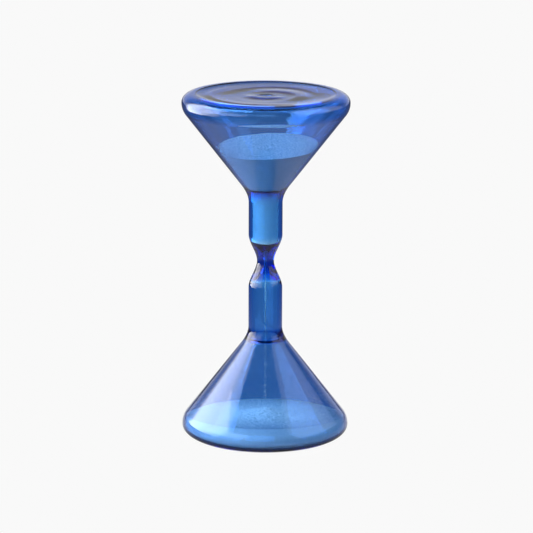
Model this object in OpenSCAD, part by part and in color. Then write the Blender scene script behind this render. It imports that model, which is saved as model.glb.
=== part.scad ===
// All-glass hourglass: two blown cone bulbs fused to a necked-down tube, each
// bulb closed by a dished end disc, with running sand sealed inside.
// Millimetres. +Z is up, and the origin is at the centre of the lower foot ring.

/* [Bulbs] */
// Outer diameter of a bulb at its widest
bulb_d = 90; // [70:1:120]
// Angle between the cone's wall and the axis
cone_angle = 37.7; // [32:0.1:42]
// Outer diameter at the end of the bulb's cone, where the flare to the neck starts
throat_d = 26; // [24:0.5:30]
// Radius of the shoulder between the cone and the widest line
shoulder_r = 9.8; // [6:0.1:14]
// How far the rim rolls in from the widest line to the foot ring
rim_roll_w = 6.2; // [3:0.1:8]
// Height of the widest line over the foot ring
rim_roll_h = 4.9; // [3:0.1:8]
// Width of the flat ring that the hourglass stands on
foot_w = 1.3; // [0.8:0.1:2.5]
// Wall thickness of the bulbs and the end discs
bulb_wall = 1.6; // [1:0.1:2]

/* [End discs] */
// Depth of the dish in each end disc
dish_depth = 1.3; // [0.6:0.1:2]
// Height of the spinning rings left in the end discs
spin_ring_h = 0.15; // [0:0.01:0.3]
// Number of spinning rings between the centre and the edge
spin_rings = 3; // [1:1:5]
// Diameter of the filling hole in the upper disc, which the glass seal closes
fill_hole_d = 9; // [6:0.5:12]

/* [Neck] */
// Outer diameter of the neck tube
neck_d = 18.2; // [17:0.1:19]
// Wall thickness of the neck tube
neck_wall = 2; // [1.8:0.1:3]
// Length of the neck from the lower throat to the waist
lower_arm = 45.9; // [38:0.1:60]
// Length of the neck from the waist to the upper throat
upper_arm = 41.8; // [38:0.1:60]
// Height of the flare at each end of the neck
flare_h = 9.8; // [8:0.1:14]
// Place of the upper weld along the flare, from 0 at the tube to 1 at the cone
upper_weld = 0.88; // [0.6:0.01:0.95]
// Place of the lower weld along the flare, from 0 at the tube to 1 at the cone
lower_weld = 0.75; // [0.6:0.01:0.95]
// Outer diameter at the waist
waist_d = 9.1; // [7:0.1:11]
// Half the length that the waist is drawn in over
waist_half = 14.7; // [12:0.1:18]
// Diameter of the orifice that meters the sand
orifice_d = 1.5; // [1:0.1:2.4]

/* [Sand] */
// Height of the upper sand over the upper throat, on the axis
upper_level = 21.1; // [19:0.1:26]
// Slope of the upper sand, rising to the right
upper_slope_x = 2.5; // [0:0.1:4]
// Slope of the upper sand, rising to the back
upper_slope_y = 3.9; // [0:0.1:4]
// Height of the lower sand over the foot ring, on the axis
lower_level = 9.2; // [8.5:0.1:12]
// Slope of the lower sand, rising to the front
lower_slope = 4.7; // [0:0.1:5]
// Diameter of the sinking sand in the middle of the upper bulb
sink_d = 32; // [26:0.5:34]
// How far the sinking sand drops
sink_travel = 5; // [3:0.1:6]
// Diameter of the growing heap in the lower bulb
heap_d = 36; // [30:0.5:40]
// Height of the heap over the lower sand
heap_h = 4.4; // [2:0.2:6]
// Gap between the sand and the glass
sand_gap = 0.1; // [0.05:0.05:0.2]
// Gap between moving and resting sand
slip_gap = 0.3; // [0.2:0.05:0.4]

/* [Hidden] */
$fn = 96;

arc_steps = 10;
curve_steps = 18;
flare_steps = 8;

bulb_r = bulb_d / 2;
throat_r = throat_d / 2;
foot_r = bulb_r - rim_roll_w;
disc_r = foot_r - foot_w;
cone_start_r = bulb_r - shoulder_r * (1 - cos(cone_angle));
cone_start_h = rim_roll_h + shoulder_r * sin(cone_angle);
bulb_h = cone_start_h + (cone_start_r - throat_r) / tan(cone_angle);

neck_r = neck_d / 2;
bore_r = neck_r - neck_wall;
orifice_r = orifice_d / 2;
// The bore closes in over a shorter stretch than the outside, and more suddenly.
funnel_half = 0.79 * waist_half;
funnel_power = 2;
// The rounded lip where the bore opens into a bulb.
bore_lip = 1.5;

waist_z = bulb_h + lower_arm;
upper_throat_z = waist_z + upper_arm;
total_h = upper_throat_z + bulb_h;

sand_top_z = upper_throat_z + upper_level;
sink_r = sink_d / 2;
sinking_sand_h = 3;
pit_floor_z = sand_top_z - sinking_sand_h - sink_travel;
crater_r = 12;
crater_depth = 2.4;
heap_r = heap_d / 2;
heap_tip_r = 1.5;
heap_lip = 0.4;
stream_r = 0.5;
stream_air = 0.3;
seal_dome = 1.2;
seal_dimple = 0.4;

glass_blue = [0.16, 0.36, 0.75, 0.45];
sand_blue = [0.62, 0.76, 0.93];

// Points of an elliptical arc about [cx, cz], from angle a0 to angle a1.
function arc(cx, cz, rx, rz, a0, a1) =
    [for (i = [0:arc_steps]) let (a = a0 + (a1 - a0) * i / arc_steps)
        [cx + rx * cos(a), cz + rz * sin(a)]];

// Points of a quadratic curve from p to q that leaves and arrives along c.
function curve(p, c, q) =
    [for (i = [0:arc_steps]) let (t = i / arc_steps)
        (1 - t) * (1 - t) * p + 2 * t * (1 - t) * c + t * t * q];

function without_first(points) = [for (i = [1:len(points) - 1]) points[i]];
function reversed(points) = [for (i = [len(points) - 1:-1:0]) points[i]];
function flipped(points) = [for (p = points) [p[0], -p[1]]];
function raised(points, dz) = [for (p = points) [p[0], p[1] + dz]];
function smooth(t) = t * t * (3 - 2 * t);

// A point of the flare's outside, at a share of the way from the tube to the cone.
// Its height is measured from the cone's end, and is negative towards the tube.
function flare_point(t) = [
    neck_r + (throat_r - neck_r) * t * t,
    -flare_h * (1 - t) * (1 - t)
        - 2 * (throat_r - neck_r) / tan(cone_angle) * t * (1 - t)
];
function flare(t0, t1) =
    [for (i = [0:flare_steps]) flare_point(t0 + (t1 - t0) * i / flare_steps)];
function weld_drop(weld) = -flare_point(weld)[1];

// Radius of the cone's skin, inset by a wall thickness, at a distance past the cone's end.
function cone_r(inset, past) = throat_r - inset / cos(cone_angle) - past * tan(cone_angle);

// The bulb's skin from the foot to the start of the cone, inset by a wall thickness.
function bulb_rim(inset) = concat(
    arc(foot_r, rim_roll_h, rim_roll_w - inset, rim_roll_h - inset, -90, 0),
    without_first(arc(bulb_r - shoulder_r, rim_roll_h,
        shoulder_r - inset, shoulder_r - inset, 0, cone_angle))
);

// The bulb's outside up to its weld.
function bulb_skin(weld) =
    concat(bulb_rim(0), raised(flipped(flare(1, weld)), bulb_h));

// The bulb's inside up to its weld, a little further in than the wall's thickness.
function bulb_lining(weld, gap) = concat(
    bulb_rim(bulb_wall + gap),
    [[cone_r(bulb_wall + gap, weld_drop(weld)), bulb_h + weld_drop(weld)]]
);

// Height of an end disc's outer face over the foot ring, at radius r.
function dish(r) = let (x = r / disc_r, edge = 1 - pow(x, 10))
    edge * (dish_depth + spin_ring_h * cos(360 * spin_rings * x));

// Bore radius of the neck at a distance from the waist.
function funnel(d) = orifice_r
    + (bore_r - orifice_r) * smooth(pow(min(1, d / funnel_half), funnel_power));

// Outer radius of the neck at a distance from the waist.
function waist(d) = waist_d / 2
    + (neck_r - waist_d / 2) * smooth(min(1, d / waist_half));

// Outside of one arm of the neck, from the waist out to the weld.
function arm_skin(arm, weld) = concat(
    [for (i = [0:curve_steps]) let (d = waist_half * i / curve_steps) [waist(d), d]],
    raised(flare(0, weld), arm)
);

// Bore of one arm of the neck, widened by grow, from the waist out to the weld.
function arm_bore(arm, weld, grow) =
    let (top = arm - weld_drop(weld), mouth_r = cone_r(bulb_wall, weld_drop(weld)))
    concat(
        [for (i = [0:curve_steps]) let (d = funnel_half * i / curve_steps)
            [funnel(d) + grow, d]],
        curve([bore_r + grow, top - bore_lip], [bore_r + grow, top], [mouth_r + grow, top])
    );

// Places a lower end's shape at the upper end, upside down.
module at_upper_end() {
    translate([0, 0, total_h]) rotate([180, 0, 0]) children();
}

module bulb(weld) {
    rotate_extrude() polygon(concat(
        bulb_skin(weld), reversed(bulb_lining(weld, 0)), [[disc_r, bulb_wall], [disc_r, 0]]));
}

module end_disc(hole_r) {
    span = disc_r - hole_r;
    face = [for (i = [0:2 * curve_steps]) let (r = hole_r + span * i / (2 * curve_steps))
        [r, dish(r)]];
    rotate_extrude() polygon(concat(face, reversed(raised(face, bulb_wall))));
}

// The space inside a bulb, a little clear of the glass.
module bulb_fill(weld) {
    under = bulb_wall + sand_gap;
    floor_points = [for (i = [0:2 * curve_steps]) let (r = disc_r * i / (2 * curve_steps))
        [r, dish(r) + under]];
    rotate_extrude() polygon(concat(
        floor_points, bulb_lining(weld, sand_gap), [[0, bulb_h + weld_drop(weld)]]));
}

// Everything over a sloping surface that crosses the axis at height z.
module over_slope(z, slope_x, slope_y) {
    translate([0, 0, z]) rotate([slope_y, -slope_x, 0])
        translate([-bulb_d, -bulb_d, 0]) cube([2 * bulb_d, 2 * bulb_d, bulb_d]);
}

module over_upper_sand() over_slope(sand_top_z, upper_slope_x, upper_slope_y);

module over_lower_sand() over_slope(lower_level, 0, -lower_slope);

module upper_bulb() color(glass_blue) at_upper_end() bulb(upper_weld);

module upper_end_disc() color(glass_blue) at_upper_end() end_disc(fill_hole_d / 2);

module lower_bulb() color(glass_blue) bulb(lower_weld);

module lower_end_disc() color(glass_blue) end_disc(0);

// The drop of glass melted over the filling hole, domed on its inner side.
module fill_seal() {
    seal_r = fill_hole_d / 2;
    base = dish(seal_r);
    color(glass_blue) at_upper_end()
        rotate_extrude() polygon(concat(
            [[0, base + seal_dimple], [seal_r, base]],
            arc(0, base + bulb_wall, seal_r, seal_dome, 0, 90)));
}

module neck_tube() {
    skin = concat(
        reversed(flipped(arm_skin(lower_arm, lower_weld))),
        without_first(arm_skin(upper_arm, upper_weld)));
    bore = concat(
        reversed(flipped(arm_bore(lower_arm, lower_weld, 0))),
        without_first(arm_bore(upper_arm, upper_weld, 0)));
    color(glass_blue) translate([0, 0, waist_z])
        rotate_extrude() polygon(concat(skin, reversed(bore)));
}

// Resting sand in the upper cone, with the pit that the sinking sand drops in.
module upper_sand_bed() {
    color(sand_blue) difference() {
        at_upper_end() bulb_fill(upper_weld);
        over_upper_sand();
        translate([0, 0, pit_floor_z]) cylinder(h = bulb_h, r = sink_r + slip_gap);
    }
}

// The sand over the neck, which drops as it runs out and leaves a crater.
module sinking_sand() {
    ball_r = (crater_r * crater_r + crater_depth * crater_depth) / (2 * crater_depth);
    color(sand_blue) difference() {
        translate([0, 0, sand_top_z - sinking_sand_h])
            cylinder(h = 2 * sinking_sand_h, r = sink_r);
        over_upper_sand();
        translate([0, 0, sand_top_z + ball_r - crater_depth]) sphere(r = ball_r);
    }
}

// The sand under the sinking sand, which gets shorter as it runs out below.
module draining_sand() {
    color(sand_blue) translate([0, 0, pit_floor_z + sand_gap])
        cylinder(h = sink_travel - 2 * sand_gap, r = sink_r);
}

// The column in the upper arm of the neck, down to the orifice.
module neck_sand() {
    side = arm_bore(upper_arm, upper_weld, -sand_gap);
    color(sand_blue) translate([0, 0, waist_z])
        rotate_extrude() polygon(concat([[0, 0]], side, [[0, upper_arm - weld_drop(upper_weld)]]));
}

// The thread of sand that falls from the orifice to the top of the heap.
module sand_stream() {
    bottom_z = lower_level + heap_h + stream_air;
    color(sand_blue) translate([0, 0, bottom_z])
        cylinder(h = waist_z - sand_gap - bottom_z, r = stream_r);
}

// Resting sand in the lower bulb, with the well that the heap rises from.
module lower_sand_bed() {
    color(sand_blue) difference() {
        bulb_fill(lower_weld);
        over_lower_sand();
        cylinder(h = bulb_h, r = heap_r + slip_gap);
    }
}

// The growing heap: a low cone on a root that rises out of the well.
module sand_heap() {
    root_z = dish(0) + bulb_wall + slip_gap;
    color(sand_blue) {
        difference() {
            translate([0, 0, root_z]) cylinder(h = lower_level, r = heap_r);
            over_lower_sand();
        }
        translate([0, 0, lower_level]) rotate([-lower_slope, 0, 0])
            cylinder(h = heap_h, r1 = heap_r - heap_lip, r2 = heap_tip_r);
    }
}

upper_bulb();
upper_end_disc();
fill_seal();
neck_tube();
lower_bulb();
lower_end_disc();
upper_sand_bed();
sinking_sand();
draining_sand();
neck_sand();
sand_stream();
lower_sand_bed();
sand_heap();
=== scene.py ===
"""An all-glass hourglass with running sand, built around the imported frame.

All lengths are in metres. The glass is turned as smooth bodies of revolution at the CAD's own
sizes, and the sand as closed solids whose tops slope, sink and heap up.
"""

import math
import random

import bmesh
import bpy
import numpy as np
from mathutils import Matrix, Vector, noise


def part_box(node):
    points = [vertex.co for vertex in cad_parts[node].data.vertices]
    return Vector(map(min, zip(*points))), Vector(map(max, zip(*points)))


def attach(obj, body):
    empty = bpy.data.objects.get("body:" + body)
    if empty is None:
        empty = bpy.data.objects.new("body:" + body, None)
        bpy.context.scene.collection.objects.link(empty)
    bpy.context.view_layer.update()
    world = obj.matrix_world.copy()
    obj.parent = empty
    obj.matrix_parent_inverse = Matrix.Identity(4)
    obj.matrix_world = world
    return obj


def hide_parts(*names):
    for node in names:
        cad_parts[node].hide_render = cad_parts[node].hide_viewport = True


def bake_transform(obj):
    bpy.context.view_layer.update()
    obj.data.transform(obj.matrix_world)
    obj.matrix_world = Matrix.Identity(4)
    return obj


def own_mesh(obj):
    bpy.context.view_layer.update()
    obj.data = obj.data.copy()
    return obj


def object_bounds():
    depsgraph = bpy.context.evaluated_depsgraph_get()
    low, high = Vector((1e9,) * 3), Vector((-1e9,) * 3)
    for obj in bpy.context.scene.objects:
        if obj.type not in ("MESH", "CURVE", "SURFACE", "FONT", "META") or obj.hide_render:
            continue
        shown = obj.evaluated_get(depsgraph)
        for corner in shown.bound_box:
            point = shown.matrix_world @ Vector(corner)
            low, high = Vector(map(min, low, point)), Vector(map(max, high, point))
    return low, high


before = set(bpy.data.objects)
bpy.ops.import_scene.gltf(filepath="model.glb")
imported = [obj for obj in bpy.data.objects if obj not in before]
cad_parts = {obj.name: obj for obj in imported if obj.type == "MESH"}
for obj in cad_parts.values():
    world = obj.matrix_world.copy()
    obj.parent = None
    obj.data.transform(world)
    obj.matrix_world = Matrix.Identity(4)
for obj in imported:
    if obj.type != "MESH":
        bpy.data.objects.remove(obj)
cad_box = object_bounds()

MM = 0.001

# ---------------------------------------------------------------- sizes from the frame
TOTAL_H = cad_box[1][2]
BULB_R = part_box("lower_bulb")[1].x
WAIST_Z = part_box("neck_sand")[0].z
SINK_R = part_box("sinking_sand")[1].x
SINK_UNDER_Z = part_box("sinking_sand")[0].z
PIT_FLOOR_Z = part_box("draining_sand")[0].z
HEAP_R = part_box("sand_heap")[1].x
HEAP_ROOT_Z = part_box("sand_heap")[0].z

# ---------------------------------------------------------------- sizes of the glass
CONE_ANGLE = math.radians(37.7)
SHOULDER_R = 9.8 * MM
RIM_ROLL_W = 6.2 * MM
RIM_ROLL_H = 4.9 * MM
FOOT_W = 1.3 * MM
BULB_WALL = 1.6 * MM
DISH_DEPTH = 1.3 * MM
SPIN_RING_H = 0.04 * MM
SPIN_RINGS = 3
SWIRL_H = 0.4 * MM
# Swirls left in the cooling disc: centre x and y, radius, widths of the inner and outer slopes,
# and the direction in which it is strongest.
SWIRLS = (
    (2.5 * MM, 1 * MM, 25 * MM, 3.5 * MM, 9 * MM, math.radians(80)),
    (-1 * MM, 0, 28 * MM, 8 * MM, 3 * MM, math.radians(215)),
    (0, 0, 8 * MM, 6 * MM, 3 * MM, math.radians(255)),
    (2 * MM, -2 * MM, 15 * MM, 3 * MM, 6 * MM, math.radians(40)),
)
SEAL_R = 4.5 * MM
SEAL_DOME = 1.2 * MM
SEAL_DIMPLE = 0.4 * MM
NECK_R = 9.1 * MM
BORE_R = 7.1 * MM
FLARE_H = 9.8 * MM
WAIST_R = 4.55 * MM
WAIST_HALF = 14.7 * MM
ORIFICE_R = 0.75 * MM
FUNNEL_HALF = 0.79 * WAIST_HALF
BORE_LIP = 1.5 * MM
FLAME_RING_H = 0.04 * MM
FLAME_RING_PITCH = 1.25 * MM
FLAME_RINGS = 4
# The gap between pieces that touch, so that no two skins coincide.
SEAM = 0.02 * MM

CONE_END_R = 13 * MM
# Where each weld is along the flare, from 0 at the tube to 1 at the cone.
LOWER_WELD_SHARE = 0.75
UPPER_WELD_SHARE = 0.88

FOOT_R = BULB_R - RIM_ROLL_W
DISC_R = FOOT_R - FOOT_W
CONE_END_Z = (
    RIM_ROLL_H
    + SHOULDER_R * math.sin(CONE_ANGLE)
    + (BULB_R - SHOULDER_R * (1 - math.cos(CONE_ANGLE)) - CONE_END_R) / math.tan(CONE_ANGLE)
)
LOWER_ARM = WAIST_Z - CONE_END_Z
UPPER_ARM = TOTAL_H - CONE_END_Z - WAIST_Z
CONE_RUN = (CONE_END_R - NECK_R) / math.tan(CONE_ANGLE)

# ---------------------------------------------------------------- sizes of the sand
SAND_GAP = 0.1 * MM
UPPER_SLOPE_X = math.tan(math.radians(2.5))
UPPER_SLOPE_Y = math.tan(math.radians(3.9))
LOWER_SLOPE_Y = -math.tan(math.radians(4.7))
UPPER_LEVEL_Z = SINK_UNDER_Z + 3 * MM
LOWER_LEVEL_Z = 9.2 * MM
CRATER_DEPTH = 2.4 * MM
PIT_R = 4.6 * MM
PIT_ROUNDING = 0.3 * MM
SINK_BASE_Z = SINK_UNDER_Z + 0.5 * MM
HEAP_H = 4.4 * MM
HEAP_ROUNDING = 0.8 * MM
STREAM_R = 0.5 * MM
THREAD_H = 34 * MM
LOOSE_GRAINS = 520
LOOSE_GRAINS_BELOW = 12 * MM
LOOSE_GRAIN_R = (0.08 * MM, 0.15 * MM)
# Unevenness of the open sand: height and width of the soft swell and of the single grains.
SWELL_H = 0.15 * MM
SWELL_W = 7 * MM
GRAIN_H = 0.06 * MM
GRAIN_W = 0.7 * MM

# ---------------------------------------------------------------- camera
CAMERA_ELEVATION = math.radians(13.5)
CAMERA_DISTANCE = 1.6
CAMERA_LENS = 200.5
CAMERA_AIM = Vector((0.57 * MM, 0, WAIST_Z - 3.29 * MM))
CAMERA_ROLL = math.radians(0.2)

# ---------------------------------------------------------------- light
SAND_LIGHT = (1.0, 0.78, 0.62)
# Strengths across each softbox, at even steps from its right end seen from the hourglass.
KEY_FADE = (0.0, 0.05, 0.85, 0.95, 0.54, 0.25)
SPILL_FADE = (1.0, 0.9, 0.7, 0.45, 0.25)
FILL_FADE = (0.6, 0.9, 1.0, 0.95, 0.7, 0.3)
# Strengths of each floor's glow, at even steps from the middle out to its reach.
FLOOR_REACH = 3.0
MIRRORED_FLOOR_REACH = 0.5
FLOOR_STEP = 0.1 * MM
FLOOR_GLOW = (0.947, 0.947)
# The floor that shows through the glass glows less than the one the camera sees, out to about two
# metres: painted shade.
GLASS_FLOOR_SHADED_GLOW = (0.68, 0.58, 0.56, 0.7, 0.85, 1.0)
# The floor mirrored in the glass is painted light: brightest in a ring a tenth of a metre out and
# dimmer further away, with painted shadow in the middle.
MIRRORED_FLOOR_PAINTED_LIGHT = (0.1, 0.8, 0.5, 0.2, 0.1, 0.1)
# Painted shadow under the foot: how far past the foot each floor's glow fades back in.
HARD_SHADOW = 2 * MM
SOFT_SHADOW = 14 * MM


# ---------------------------------------------------------------- outlines
def arc(cx, cz, rx, rz, start, end, steps=24):
    """Points of an elliptical arc, from angle start to angle end in degrees."""
    angles = np.radians(np.linspace(start, end, steps + 1))
    return np.stack([cx + rx * np.cos(angles), cz + rz * np.sin(angles)], 1)


def curve(p, c, q, steps=16):
    """Points of a quadratic curve from p to q that leaves and arrives along c."""
    t = np.linspace(0, 1, steps + 1)[:, None]
    p, c, q = np.array(p), np.array(c), np.array(q)
    return (1 - t) ** 2 * p + 2 * t * (1 - t) * c + t**2 * q


def line(p, q, steps):
    """Points of a straight line from p to q."""
    t = np.linspace(0, 1, steps + 1)[:, None]
    return (1 - t) * np.array(p) + t * np.array(q)


def joined(*stretches):
    """One outline from several stretches, without the points that repeat."""
    points = np.concatenate([np.atleast_2d(s) for s in stretches])
    far = np.linalg.norm(np.diff(points, axis=0), axis=1) > 1e-7
    return points[np.concatenate([[True], far])]


def smooth(t):
    """Goes from 0 to 1 and is level at both ends."""
    t = np.clip(t, 0, 1)
    return t * t * (3 - 2 * t)


def at_upper_end(outline):
    """A lower end's outline, placed upside down at the upper end."""
    return np.stack([outline[:, 0], TOTAL_H - outline[:, 1]], 1)


def flare(start, end):
    """Outside of the flare between tube and cone; z is measured from the cone's end.

    It is a quadratic curve: share 0 is at the tube and share 1 at the cone.
    """
    t = np.linspace(start, end, 81)
    r = NECK_R + (CONE_END_R - NECK_R) * t**2
    z = -FLARE_H * (1 - t) ** 2 - 2 * CONE_RUN * t * (1 - t)
    return np.stack([r, z], 1)


LOWER_WELD_DROP = -float(flare(0, LOWER_WELD_SHARE)[-1, 1])
UPPER_WELD_DROP = -float(flare(0, UPPER_WELD_SHARE)[-1, 1])


def cone_point(inset, z):
    """A point on the lower cone's skin at height z, inset by a wall thickness."""
    r = CONE_END_R - inset / math.cos(CONE_ANGLE) - (z - CONE_END_Z) * math.tan(CONE_ANGLE)
    return [r, z]


def bulb_rim(inset):
    """The bulb's skin from its foot to the start of the cone, inset by a wall thickness."""
    return joined(
        arc(FOOT_R, RIM_ROLL_H, RIM_ROLL_W - inset, RIM_ROLL_H - inset, -90, 0),
        arc(BULB_R - SHOULDER_R, RIM_ROLL_H, SHOULDER_R - inset, SHOULDER_R - inset,
            0, math.degrees(CONE_ANGLE)),
    )


def dish(r):
    """Height of an end disc's outer face over the foot ring, at radius r."""
    x = np.clip(r / DISC_R, 0, 1)
    return (1 - x**10) * (DISH_DEPTH + SPIN_RING_H * np.cos(2 * math.pi * SPIN_RINGS * x))


def bulb_outline(weld_share, weld_drop):
    """A bulb's wall, from the foot ring out along the skin to the weld and back inside."""
    weld = flare(1, weld_share) * [1, -1] + [0, CONE_END_Z]
    outside = joined(bulb_rim(0), weld)
    inside = joined(bulb_rim(BULB_WALL), cone_point(BULB_WALL, CONE_END_Z + weld_drop))[::-1]
    edge = [[DISC_R + SEAM, BULB_WALL], [DISC_R + SEAM, 0]]
    return joined(outside, inside, edge)


def swirl(x, y):
    """Height of the ridges in the disc's outer face, where the glass swirled as it was spun."""
    rise = 0.0
    for cx, cy, radius, inner, outer, toward in SWIRLS:
        away = np.hypot(x - cx, y - cy) - radius
        ridge = np.exp(-((away / np.where(away < 0, inner, outer)) ** 2))
        rise = rise + SWIRL_H * ridge * smooth(0.2 + np.cos(np.arctan2(y - cy, x - cx) - toward))
    return np.minimum(rise, DISH_DEPTH - SPIN_RING_H)


def disc_shape(hole_r, angle, side):
    """Outline of an end disc at an angle; side is 1 for the lower disc and -1 for the upper."""
    r = np.linspace(hole_r, DISC_R - SEAM, 120)
    face = np.stack([r, dish(r)], 1)
    flat = smooth((DISC_R - r) / (4 * MM)) * smooth((r - hole_r) / (2 * MM))
    ridges = swirl(r * math.cos(angle), side * r * math.sin(angle))
    swirled = face + np.stack([0 * r, -flat * ridges], 1)
    return joined(swirled, (face + [0, BULB_WALL])[::-1])


def seal_outline():
    """The drop of glass that fills the hole in the upper disc, with a domed inside."""
    base = float(dish(SEAL_R))
    r = SEAL_R - SEAM
    return joined(
        curve([0, base + SEAL_DIMPLE], [0.5 * r, base + SEAL_DIMPLE], [r, base]),
        arc(0, base + BULB_WALL, r, SEAL_DOME, 0, 90),
    )


def flame_rings(outline):
    """Faint rings that the flame left in the flare, just under the weld."""
    under = outline[-1, 1] - outline[:, 1]
    inside = np.clip(1 - under / (FLAME_RINGS * FLAME_RING_PITCH), 0, 1)
    wave = 1 - np.cos(2 * math.pi * under / FLAME_RING_PITCH)
    return outline + np.stack([FLAME_RING_H * wave * inside, 0 * under], 1)


def arm_skin(arm, weld_share):
    """Outside of one arm of the neck, from the waist out to the weld."""
    d = np.linspace(0, WAIST_HALF, 48)
    waist = np.stack([WAIST_R + (NECK_R - WAIST_R) * smooth(d / WAIST_HALF), d], 1)
    return joined(waist, flame_rings(flare(0, weld_share)) + [0, arm])


def arm_bore(arm, weld_drop, grow=0.0):
    """Bore of one arm of the neck, from the waist out to a rounded lip at the weld."""
    d = np.linspace(0, FUNNEL_HALF, 48)
    funnel = ORIFICE_R + (BORE_R - ORIFICE_R) * smooth((d / FUNNEL_HALF) ** 2)
    mouth = cone_point(BULB_WALL, CONE_END_Z + weld_drop)[0]
    top = arm - weld_drop
    lip = curve([BORE_R, top - BORE_LIP], [BORE_R, top], [mouth, top])
    return joined(np.stack([funnel + grow, d], 1), lip + [grow, 0])


def neck_outline():
    """Both arms of the neck, as one wall with a bore through it."""
    flip = np.array([1, -1])
    lower_skin = arm_skin(LOWER_ARM, LOWER_WELD_SHARE) * flip
    lower_bore = arm_bore(LOWER_ARM, LOWER_WELD_DROP) * flip
    skin = joined(lower_skin[::-1], arm_skin(UPPER_ARM, UPPER_WELD_SHARE))
    bore = joined(lower_bore[::-1], arm_bore(UPPER_ARM, UPPER_WELD_DROP))
    outline = joined(skin, bore[::-1]) + [0, WAIST_Z]
    low = CONE_END_Z + LOWER_WELD_DROP + SEAM
    high = TOTAL_H - CONE_END_Z - UPPER_WELD_DROP - SEAM
    outline[:, 1] = np.clip(outline[:, 1], low, high)
    return outline


# ---------------------------------------------------------------- meshes
def revolve(name, shape, turns=256, sharp=35):
    """A closed body: shape(angle) gives the outline's (r, z) points at that angle."""
    angles = np.arange(turns) * 2 * math.pi / turns
    rings = np.stack([shape(a) for a in angles])
    verts, index = [], []
    for i in range(rings.shape[1]):
        if rings[:, i, 0].max() < 1e-7:
            index.append([len(verts)] * turns)
            verts.append((0, 0, rings[0, i, 1]))
            continue
        index.append(list(range(len(verts), len(verts) + turns)))
        r, z = rings[:, i, 0], rings[:, i, 1]
        verts.extend(zip(r * np.cos(angles), r * np.sin(angles), z))
    faces = []
    for i in range(len(index)):
        a, b = index[i], index[(i + 1) % len(index)]
        if a[0] == a[1] and b[0] == b[1]:
            continue
        for j in range(turns):
            k = (j + 1) % turns
            corners = list(dict.fromkeys((a[j], a[k], b[k], b[j])))
            faces.append(corners)
    return mesh_object(name, verts, faces, sharp)


def mesh_object(name, verts, faces, sharp):
    """A smooth mesh object, with edges over the angle sharp, in degrees, left sharp."""
    mesh = bpy.data.meshes.new(name)
    mesh.from_pydata([tuple(map(float, v)) for v in verts], [], faces)
    bm = bmesh.new()
    bm.from_mesh(mesh)
    bmesh.ops.recalc_face_normals(bm, faces=bm.faces)
    bm.to_mesh(mesh)
    bm.free()
    mesh.shade_smooth()
    mesh.set_sharp_from_angle(angle=math.radians(sharp))
    obj = bpy.data.objects.new(name, mesh)
    bpy.context.scene.collection.objects.link(obj)
    return obj


def lathe(name, outline, turns=256):
    """A body of revolution with the same outline all round."""
    return revolve(name, lambda angle: outline, turns)


# ---------------------------------------------------------------- materials
def new_material(name):
    """A material with its nodes, its links and its Principled shader."""
    material = bpy.data.materials.new(name)
    material.use_nodes = True
    nodes = material.node_tree.nodes
    return material, nodes, material.node_tree.links, nodes["Principled BSDF"]


def add(nodes, kind, **values):
    """A new node, with its inputs or its settings given by name."""
    node = nodes.new(kind)
    for key, value in values.items():
        if key in node.inputs:
            node.inputs[key].default_value = value
        else:
            setattr(node, key, value)
    return node


def object_noise(nodes, links, scale, detail=2.0):
    """Noise that is fixed to the object, with about scale features in a metre."""
    where = nodes.new("ShaderNodeTexCoord")
    cloud = add(nodes, "ShaderNodeTexNoise", Scale=scale, Detail=detail)
    links.new(where.outputs["Object"], cloud.inputs["Vector"])
    return cloud


def blue_glass(name, density, tint):
    """Clear blue glass: its colour comes from the depth of glass that light crosses."""
    material, nodes, links, shader = new_material(name)
    shader.inputs["Base Color"].default_value = (1, 1, 1, 1)
    shader.inputs["Transmission Weight"].default_value = 1
    shader.inputs["Roughness"].default_value = 0.0
    shader.inputs["IOR"].default_value = 1.47
    depth = add(nodes, "ShaderNodeVolumeAbsorption", Density=density)
    depth.inputs["Color"].default_value = (*tint, 1)
    links.new(depth.outputs["Volume"], nodes["Material Output"].inputs["Volume"])
    # The skin of blown glass is a little uneven.
    swell = object_noise(nodes, links, 90.0, 1.0)
    bump = add(nodes, "ShaderNodeBump", Strength=0.12, Distance=0.0004)
    links.new(swell.outputs["Fac"], bump.inputs["Height"])
    links.new(bump.outputs["Normal"], shader.inputs["Normal"])
    return material


def sand():
    """Fine pale quartz sand. Its grains show on its open tops more than against the glass."""
    material, nodes, links, shader = new_material("sand")
    grains = object_noise(nodes, links, 1150.0, 2.0)
    drift = object_noise(nodes, links, 160.0, 2.0)
    speckle = nodes.new("ShaderNodeValToRGB")
    speckle.color_ramp.elements[0].position = 0.42
    speckle.color_ramp.elements[0].color = (0.6, 0.46, 0.35, 1)
    speckle.color_ramp.elements[1].position = 0.56
    speckle.color_ramp.elements[1].color = (1.0, 0.8, 0.63, 1)
    links.new(grains.outputs["Fac"], speckle.inputs["Fac"])
    split = nodes.new("ShaderNodeSeparateXYZ")
    links.new(nodes.new("ShaderNodeNewGeometry").outputs["Normal"], split.inputs["Vector"])
    open_top = nodes.new("ShaderNodeMapRange")
    open_top.inputs["From Min"].default_value = 0.75
    open_top.inputs["From Max"].default_value = 0.9
    open_top.inputs["To Min"].default_value = 0.15
    links.new(split.outputs["Z"], open_top.inputs["Value"])
    grainy = add(nodes, "ShaderNodeMix", data_type="RGBA")
    grainy.inputs["A"].default_value = (0.95, 0.76, 0.6, 1)
    links.new(open_top.outputs["Result"], grainy.inputs["Factor"])
    links.new(speckle.outputs["Color"], grainy.inputs["B"])
    shade = add(nodes, "ShaderNodeMix", data_type="RGBA", blend_type="MULTIPLY")
    shade.inputs["Factor"].default_value = 0.08
    links.new(grainy.outputs["Result"], shade.inputs["A"])
    links.new(drift.outputs["Fac"], shade.inputs["B"])
    links.new(shade.outputs["Result"], shader.inputs["Base Color"])
    shader.inputs["Roughness"].default_value = 0.9
    bump = add(nodes, "ShaderNodeBump", Strength=0.5, Distance=0.0002)
    links.new(grains.outputs["Fac"], bump.inputs["Height"])
    links.new(bump.outputs["Normal"], shader.inputs["Normal"])
    return material


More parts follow.
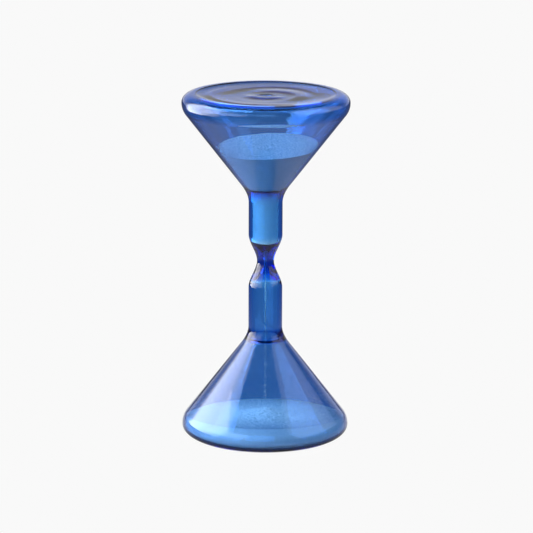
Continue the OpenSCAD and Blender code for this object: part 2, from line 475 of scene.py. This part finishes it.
def place(piece, body, material, slot, *nodes):
    """Gives a piece its finish and its body, and hides the CAD nodes that it stands for."""
    piece.data.materials.append(material)
    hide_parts(*nodes)
    if body is not None:
        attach(piece, body)
    return piece


# ---------------------------------------------------------------- glass pieces
def make_glass():
    bulb_glass = blue_glass("blown_glass", 1000.0, (0.07, 0.484, 0.832))
    neck_glass = blue_glass("tube_glass", 1000.0, (0.13, 0.58, 0.88))
    outlines = {
        "upper_bulb": at_upper_end(bulb_outline(UPPER_WELD_SHARE, UPPER_WELD_DROP)),
        "fill_seal": at_upper_end(seal_outline()),
        "neck_tube": neck_outline(),
        "lower_bulb": bulb_outline(LOWER_WELD_SHARE, LOWER_WELD_DROP),
    }
    for node, outline in outlines.items():
        material = neck_glass if node == "neck_tube" else bulb_glass
        place(lathe(node + "_glass", outline), "glass", material, "blue_glass", node)
    upper = revolve("upper_end_disc_glass",
                    lambda angle: at_upper_end(disc_shape(SEAL_R + SEAM, angle, 1)))
    lower = revolve("lower_end_disc_glass", lambda angle: disc_shape(0, angle, -1))
    place(upper, "glass", bulb_glass, "blue_glass", "upper_end_disc")
    place(lower, "glass", bulb_glass, "blue_glass", "lower_end_disc")


# ---------------------------------------------------------------- sand pieces
def grain(x, y, seed):
    """Small unevenness of a sand surface: a soft swell and single grains."""
    swell = noise.noise(Vector((x / SWELL_W, y / SWELL_W, seed)))
    grains = noise.noise(Vector((x / GRAIN_W, y / GRAIN_W, seed + 5)))
    return SWELL_H * swell + GRAIN_H * grains


def upper_surface(r, angle):
    """Height of the upper sand, with the crater over the neck."""
    x, y = r * math.cos(angle), r * math.sin(angle)
    plane = UPPER_LEVEL_Z + UPPER_SLOPE_X * x + UPPER_SLOPE_Y * y
    return plane - crater(r) + grain(x, y, 1.0)


def crater(r):
    """Depth of the crater: a shallow bowl with a small, steeper pit in its middle."""
    out = max(0.0, 1 - r / SINK_R)
    pit = max(0.0, 1 - math.hypot(r, PIT_ROUNDING) / PIT_R)
    return CRATER_DEPTH * (0.3 * out**1.5 + 0.74 * pit)


def lower_surface(r, angle):
    """Height of the lower sand, with the heap under the stream."""
    x, y = r * math.cos(angle), r * math.sin(angle)
    return LOWER_LEVEL_Z + LOWER_SLOPE_Y * y + heap(r) + grain(x, y, 2.0)


def heap(r):
    """Height of the heap over the lower sand's plane."""
    out = max(0.0, 1 - math.hypot(r, HEAP_ROUNDING) / HEAP_R)
    return HEAP_H * out**1.4


def surface_points(surface, radii, angle):
    """Points of a sand surface along one direction, at the given radii."""
    return np.array([[r, surface(r, angle)] for r in radii])


def make_upper_bed(material):
    """Sand in the upper cone, from the weld up to the sloping surface."""
    foot_r, foot_drop = cone_point(BULB_WALL + SAND_GAP, CONE_END_Z + UPPER_WELD_DROP)
    foot_z = TOTAL_H - foot_drop
    rise = 1 / math.tan(CONE_ANGLE)

    def shape(angle):
        slope = UPPER_SLOPE_X * math.cos(angle) + UPPER_SLOPE_Y * math.sin(angle)
        rim_r = (UPPER_LEVEL_Z - foot_z + foot_r * rise) / (rise - slope)
        rim_z = foot_z + (rim_r - foot_r) * rise
        side = line([foot_r, foot_z], [rim_r, rim_z], 12)
        radii = np.linspace(rim_r, SINK_R + SEAM, 40)[1:]
        top = surface_points(upper_surface, radii, angle)
        floor = [[SINK_R + SEAM, PIT_FLOOR_Z - SAND_GAP], [0, PIT_FLOOR_Z - SAND_GAP]]
        return np.concatenate([[[0, foot_z]], side, top, floor])

    bed = revolve("upper_sand_bed_grains", shape, 384)
    place(bed, "glass", material, "sand", "upper_sand_bed")


def make_sinking_sand(material):
    """The core of sand over the neck, whose rim stays and whose middle sinks."""

    def shape(angle):
        radii = np.linspace(SINK_R, 0, 44)
        top = surface_points(upper_surface, radii, angle)
        return np.concatenate([[[0, SINK_BASE_Z], [SINK_R, SINK_BASE_Z]], top])

    piece = revolve("sinking_sand_grains", shape, 256)
    place(piece, None, material, "sand", "sinking_sand")
    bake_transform(piece)


def make_draining_sand(material):
    """The sand under the sinking core, which shortens as it runs out."""
    top_z = SINK_BASE_Z - SAND_GAP
    outline = np.array([[0, PIT_FLOOR_Z], [SINK_R, PIT_FLOOR_Z], [SINK_R, top_z], [0, top_z]])
    piece = lathe("draining_sand_grains", outline, 96)
    place(piece, "glass", material, "sand", "draining_sand")
    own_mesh(piece)


def make_neck_sand(material):
    """The column of sand in the upper arm of the neck."""
    side = arm_bore(UPPER_ARM, UPPER_WELD_DROP, -SAND_GAP)
    outline = joined([0, 0], side, [0, side[-1, 1]]) + [0, WAIST_Z]
    place(lathe("neck_sand_grains", outline), "glass", material, "sand", "neck_sand")


def make_lower_bed(material):
    """Sand in the lower bulb, around the heap, up to a sloping surface."""
    inset = BULB_WALL + SAND_GAP
    skin = joined(bulb_rim(inset), cone_point(inset, CONE_END_Z))
    along = np.concatenate([[0], np.cumsum(np.linalg.norm(np.diff(skin, axis=0), axis=1))])
    floor_r = np.linspace(HEAP_R + SEAM, DISC_R, 24)
    floor = np.stack([floor_r, dish(floor_r) + BULB_WALL + SAND_GAP], 1)

    def shape(angle):
        rim_z = LOWER_LEVEL_Z
        for _ in range(8):
            rim_r = np.interp(rim_z, skin[:, 1], skin[:, 0])
            rim_z = LOWER_LEVEL_Z + LOWER_SLOPE_Y * rim_r * math.sin(angle)
        far = np.linspace(0, np.interp(rim_z, skin[:, 1], along), 24)
        side = np.stack([np.interp(far, along, skin[:, i]) for i in (0, 1)], 1)
        radii = np.linspace(rim_r, HEAP_R + SEAM, 56)[1:]
        top = surface_points(lower_surface, radii, angle)
        return np.concatenate([floor, side, top])

    bed = revolve("lower_sand_bed_grains", shape, 448)
    place(bed, "glass", material, "sand", "lower_sand_bed")


def make_heap(material):
    """The heap under the stream, whose edge stays and whose middle rises."""

    def shape(angle):
        radii = np.linspace(HEAP_R, 0, 50)
        top = surface_points(lower_surface, radii, angle)
        return np.concatenate([[[0, HEAP_ROOT_Z], [HEAP_R, HEAP_ROOT_Z]], top])

    piece = revolve("sand_heap_grains", shape, 288)
    place(piece, None, material, "sand", "sand_heap")
    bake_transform(piece)


def make_stream(material):
    """A thread of grains that thins out into single grains as it falls."""
    top_z = WAIST_Z - SAND_GAP
    bottom_z = LOWER_LEVEL_Z + HEAP_H
    thread_end_z = WAIST_Z - THREAD_H
    z = np.linspace(top_z, thread_end_z, 160)
    share = (top_z - z) / (top_z - thread_end_z)

    def shape(angle):
        wave = [noise.noise(Vector((math.cos(angle), math.sin(angle), h / (1.1 * MM)))) for h in z]
        r = STREAM_R * (0.8 - 0.65 * share**0.4) * (1 + 0.35 * np.array(wave))
        return joined([0, top_z], np.stack([r, z], 1), [0, thread_end_z])

    thread = revolve("sand_stream_grains", shape, 16, sharp=60)
    draw = random.Random(7)
    bm = bmesh.new()
    bm.from_mesh(thread.data)
    loose_z = top_z - LOOSE_GRAINS_BELOW
    for _ in range(LOOSE_GRAINS):
        fall = draw.random() ** 0.9
        spread = (0.6 + 0.5 * fall) * MM
        spot = (
            draw.gauss(0, spread / 2),
            draw.gauss(0, spread / 2),
            loose_z - (loose_z - bottom_z - STREAM_R) * fall,
        )
        size = draw.uniform(*LOOSE_GRAIN_R)
        bmesh.ops.create_icosphere(
            bm, subdivisions=1, radius=size, matrix=Matrix.Translation(spot)
        )
    bm.to_mesh(thread.data)
    bm.free()
    thread.data.shade_smooth()
    place(thread, None, material, "sand", "sand_stream")
    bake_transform(thread)


# ---------------------------------------------------------------- studio
def look_at(obj, target, roll=0.0):
    """Turns a camera or a lamp towards a point."""
    away = (obj.location - Vector(target)).to_track_quat("Z", "Y")
    obj.rotation_euler = (away.to_matrix() @ Matrix.Rotation(roll, 3, "Z")).to_euler()


def make_camera():
    camera = bpy.data.objects.new("camera", bpy.data.cameras.new("camera"))
    camera.data.lens = CAMERA_LENS
    camera.data.sensor_width = 36
    camera.data.clip_end = 20
    toward = Vector((0, -math.cos(CAMERA_ELEVATION), math.sin(CAMERA_ELEVATION)))
    camera.location = CAMERA_AIM + CAMERA_DISTANCE * toward
    look_at(camera, CAMERA_AIM, CAMERA_ROLL)
    bpy.context.scene.collection.objects.link(camera)
    bpy.context.scene.camera = camera


def strength_curve(nodes, links, share, strengths):
    """Turns a share from 0 to 1 into a strength, from strengths at even steps."""
    fade = nodes.new("ShaderNodeFloatCurve")
    fade.mapping.use_clip = False
    points = fade.mapping.curves[0].points
    points[0].location = (0, strengths[0])
    points[1].location = (1, strengths[-1])
    for i in range(1, len(strengths) - 1):
        points.new(i / (len(strengths) - 1), strengths[i])
    fade.mapping.update()
    links.new(share, fade.inputs["Value"])
    return fade.outputs["Value"]


def make_floor(name, level, glow, reach, shadow):
    """A white floor that glows, with a painted shadow where the hourglass covers it.

    glow lists the strengths at even steps from the middle out to the distance reach, and shadow
    is how far the painted shadow fades out past the foot.
    """
    bpy.ops.mesh.primitive_plane_add(size=14, location=(0, 3, level))
    floor = bpy.context.object
    floor.name = name
    material, nodes, links, shader = new_material(name)
    shader.inputs["Base Color"].default_value = (0, 0, 0, 1)
    shader.inputs["Roughness"].default_value = 1.0
    shader.inputs["Specular IOR Level"].default_value = 0.0
    shader.inputs["Emission Color"].default_value = (1, 1, 1, 1)
    where = nodes.new("ShaderNodeNewGeometry")
    far = add(nodes, "ShaderNodeVectorMath", operation="LENGTH")
    links.new(where.outputs["Position"], far.inputs[0])
    share = add(nodes, "ShaderNodeMath", operation="DIVIDE", use_clamp=True)
    share.inputs[1].default_value = reach
    links.new(far.outputs["Value"], share.inputs[0])
    # Painted shadow: the glow is cut to nothing at the foot and comes back in full over shadow
    # past it.
    edge = nodes.new("ShaderNodeMapRange")
    edge.inputs["From Min"].default_value = FOOT_R
    edge.inputs["From Max"].default_value = FOOT_R + shadow
    links.new(far.outputs["Value"], edge.inputs["Value"])
    lit = add(nodes, "ShaderNodeMath", operation="MULTIPLY")
    links.new(strength_curve(nodes, links, share.outputs["Value"], glow), lit.inputs[0])
    links.new(edge.outputs["Result"], lit.inputs[1])
    links.new(lit.outputs["Value"], shader.inputs["Emission Strength"])
    floor.data.materials.append(material)
    return floor


def make_floors():
    """The floor that the camera sees, one that shows through the glass, and one mirrored in it."""
    seen = make_floor("floor", -FLOOR_STEP, FLOOR_GLOW, FLOOR_REACH, HARD_SHADOW)
    seen.visible_diffuse = seen.visible_glossy = seen.visible_transmission = False
    # Painted shade: a dimmer floor that only shows through the glass.
    through = make_floor(
        "shaded_floor_through_glass", -2 * FLOOR_STEP, GLASS_FLOOR_SHADED_GLOW, FLOOR_REACH, SOFT_SHADOW
    )
    through.visible_camera = through.visible_glossy = False
    # Painted light: a floor that only shows mirrored in the glass.
    mirrored = make_floor(
        "floor_mirrored_painted_light", -3 * FLOOR_STEP, MIRRORED_FLOOR_PAINTED_LIGHT, MIRRORED_FLOOR_REACH, SOFT_SHADOW
    )
    mirrored.visible_camera = mirrored.visible_diffuse = mirrored.visible_transmission = False


def lamp_at(name, spot, target, width, height, radiance, colour=(1, 1, 1), fade=()):
    """A rectangular lamp that faces a point, and may fade from one side to the other."""
    lamp = bpy.data.lights.new(name, "AREA")
    lamp.shape = "RECTANGLE"
    lamp.size, lamp.size_y = width, height
    lamp.energy = radiance * math.pi * width * height
    lamp.color = colour
    if fade:
        fade_across(lamp, fade)
    obj = bpy.data.objects.new(name, lamp)
    obj.location = spot
    look_at(obj, target)
    obj.visible_camera = False
    bpy.context.scene.collection.objects.link(obj)
    return obj


def fade_across(lamp, fade):
    """Varies a lamp's light from one side to the other."""
    lamp.use_nodes = True
    nodes, links = lamp.node_tree.nodes, lamp.node_tree.links
    where = nodes.new("ShaderNodeNewGeometry")
    split = nodes.new("ShaderNodeSeparateXYZ")
    links.new(where.outputs["Parametric"], split.inputs["Vector"])
    strength = strength_curve(nodes, links, split.outputs["X"], fade)
    links.new(strength, nodes["Emission"].inputs["Strength"])


def wall_softbox(name, azimuth, distance, left, right, low, high, radiance, fade=()):
    """An upright lamp that faces the hourglass. Azimuth 0 is +X, 90 is +Y.

    left and right are how far it reaches to its two sides, seen from the hourglass, and low and
    high are heights over the floor.
    """
    a = math.radians(azimuth)
    toward = Vector((math.cos(a), math.sin(a), 0))
    along = Vector((-math.sin(a), math.cos(a), 0))
    centre = distance * toward + (left - right) / 2 * along + Vector((0, 0, (low + high) / 2))
    return lamp_at(name, centre, centre - toward, left + right, high - low, radiance, fade=fade)


def through_softbox(name, azimuth, distance, half, low, high, radiance):
    """An upright lamp that shines through the glass and isn't mirrored in it."""
    lamp = wall_softbox(name, azimuth, distance, half, half, low, high, radiance)
    lamp.visible_glossy = False


def sand_softbox(name, azimuth, elevation, distance, size, radiance):
    """A lamp that lights the sand through the glass and isn't mirrored in the glass."""
    a, e = math.radians(azimuth), math.radians(elevation)
    toward = Vector((math.cos(e) * math.cos(a), math.cos(e) * math.sin(a), math.sin(e)))
    middle = Vector((0, 0, TOTAL_H / 2))
    lamp = lamp_at(name, middle + distance * toward, middle, size, size, radiance, SAND_LIGHT)
    lamp.visible_glossy = False


def low_softbox(name, azimuth, distance, size, radiance):
    """A lamp that lies on the floor and lights the sand's sides from below."""
    a = math.radians(azimuth)
    spot = Vector((distance * math.cos(a), distance * math.sin(a), 2 * MM))
    lamp = lamp_at(name, spot, spot + Vector((0, 0, 1)), size, size, radiance, SAND_LIGHT)
    lamp.visible_glossy = False


def make_world():
    """A grey room that gets darker towards its ceiling, with a pale wall behind the hourglass."""
    world = bpy.data.worlds.new("studio")
    bpy.context.scene.world = world
    world.use_nodes = True
    nodes, links = world.node_tree.nodes, world.node_tree.links
    where = nodes.new("ShaderNodeTexCoord")
    split = nodes.new("ShaderNodeSeparateXYZ")
    links.new(where.outputs["Generated"], split.inputs["Vector"])
    height = nodes.new("ShaderNodeValToRGB")
    links.new(split.outputs["Z"], height.inputs["Fac"])
    height.color_ramp.elements[0].color = (1, 1, 1, 1)
    height.color_ramp.elements[1].position = 0.8
    height.color_ramp.elements[1].color = (0.12, 0.12, 0.12, 1)
    for z, level in ((0.17, 0.6), (0.27, 0.5), (0.38, 0.3)):
        height.color_ramp.elements.new(z).color = (level, level, level, 1)
    side = nodes.new("ShaderNodeMapRange")
    side.inputs["From Min"].default_value = 0.6
    side.inputs["From Max"].default_value = 0.9
    side.inputs["To Min"].default_value = 0.18
    side.inputs["To Max"].default_value = 1.0
    links.new(split.outputs["Y"], side.inputs["Value"])
    links.new(height.outputs["Color"], nodes["Background"].inputs["Color"])
    links.new(side.outputs["Result"], nodes["Background"].inputs["Strength"])


def make_lamps():
    wall_softbox("key_softbox", azimuth=175, distance=0.37, left=0.225, right=0.46,
                 low=0.05, high=0.62, radiance=8.5, fade=KEY_FADE)
    wall_softbox("spill_softbox", azimuth=215, distance=0.38, left=0.22, right=0.27,
                 low=0.13, high=0.4, radiance=4.0, fade=SPILL_FADE)
    wall_softbox("fill_softbox", azimuth=-10, distance=0.6, left=0.62, right=0.436,
                 low=0.2, high=1.3, radiance=1.6, fade=FILL_FADE)
    through_softbox("back_softbox", azimuth=90, distance=1.2, half=0.8,
                    low=0.3, high=1.2, radiance=0.9)
    sand_softbox("top_softbox", azimuth=168, elevation=63, distance=1.1, size=0.7, radiance=34.5)
    sand_softbox("left_softbox", azimuth=212, elevation=22, distance=1.0, size=0.9, radiance=14.0)
    sand_softbox("front_softbox", azimuth=262, elevation=28, distance=1.2, size=0.9, radiance=12.0)
    sand_softbox("right_softbox", azimuth=-15, elevation=26, distance=0.9, size=0.8, radiance=11.0)
    low_softbox("low_softbox", azimuth=222, distance=0.29, size=0.34, radiance=5.2)


def make_studio():
    make_camera()
    make_floors()
    make_world()
    make_lamps()
    scene = bpy.context.scene
    scene.view_settings.view_transform = "Standard"
    scene.cycles.max_bounces = 24
    scene.cycles.transmission_bounces = 24
    scene.cycles.glossy_bounces = 12
    scene.cycles.diffuse_bounces = 4


make_studio()
make_glass()
sand_material = sand()
make_upper_bed(sand_material)
make_sinking_sand(sand_material)
make_draining_sand(sand_material)
make_neck_sand(sand_material)
make_stream(sand_material)
make_lower_bed(sand_material)
make_heap(sand_material)
